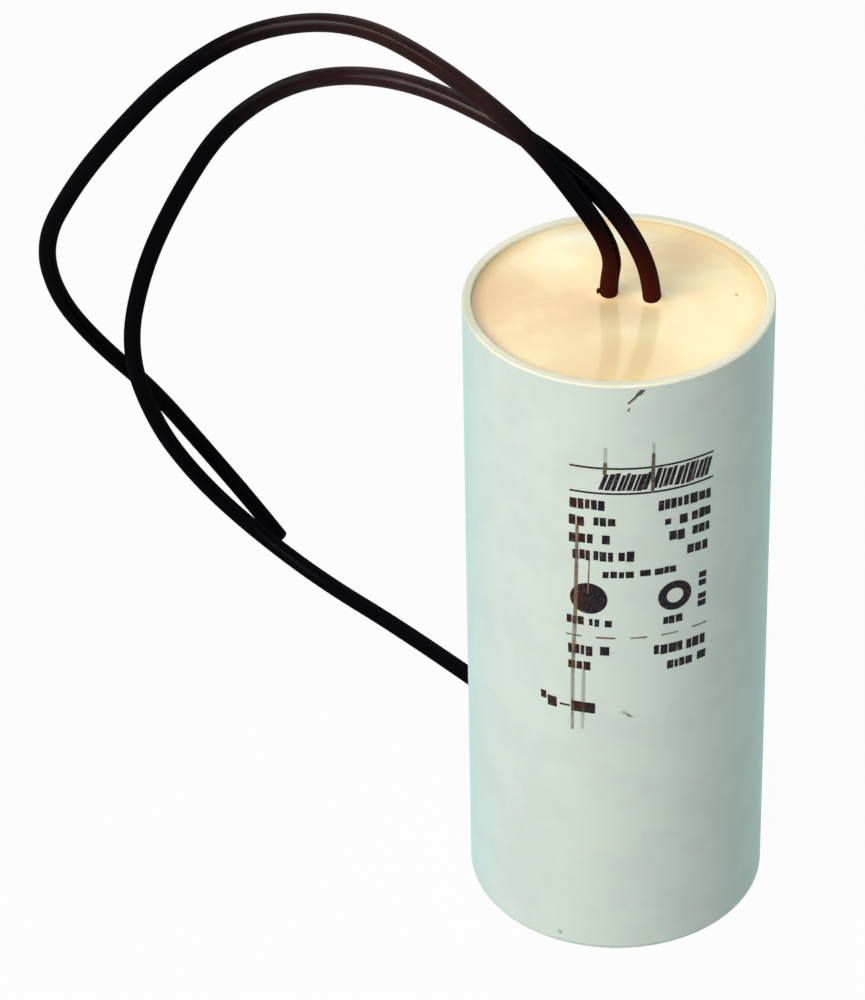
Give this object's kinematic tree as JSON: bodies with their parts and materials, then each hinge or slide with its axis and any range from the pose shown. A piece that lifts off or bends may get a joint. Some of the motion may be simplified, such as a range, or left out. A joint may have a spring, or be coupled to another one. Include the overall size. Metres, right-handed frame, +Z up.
{
  "type": "motor run capacitor",
  "caption": "Round potted motor run capacitor: a pale moulded can filled with resin, with two stiff insulated leads that arch out of its open end",
  "frame": {"origin": "centre of the can's foot, on the surface that the can stands on", "axes": "+Z is up along the can's axis, out of its potted end; the picture looks along +Y and down, and the leads arch towards -X"},
  "size_m": [0.0972, 0.0962, 0.1331],
  "materials": {
    "can_plastic": "glossy pale grey moulded thermoplastic",
    "resin": "glossy cream potting resin, cast in place",
    "film": "metallised polypropylene film, wound tight",
    "core_plastic": "natural moulded polypropylene tube",
    "wrap_film": "clear plastic film wrap",
    "sprayed_metal": "sprayed zinc, grainy and matt",
    "solder": "soft solder, smooth",
    "lead_insulation": "satin black-brown plastic wire insulation",
    "tinned_copper": "tinned copper wire"
  },
  "bodies": {
    "root": {"can": "can_plastic", "potting_resin": "resin", "winding": "film", "winding_core": "core_plastic", "outer_wrap": "wrap_film", "upper_end_spray": "sprayed_metal", "lower_end_spray": "sprayed_metal", "upper_solder_joint": "solder", "lower_solder_joint": "solder", "lead_1_jacket": "lead_insulation", "lead_1_conductor": "tinned_copper", "lead_2_jacket": "lead_insulation", "lead_2_conductor": "tinned_copper"}
  },
  "joints": []
}
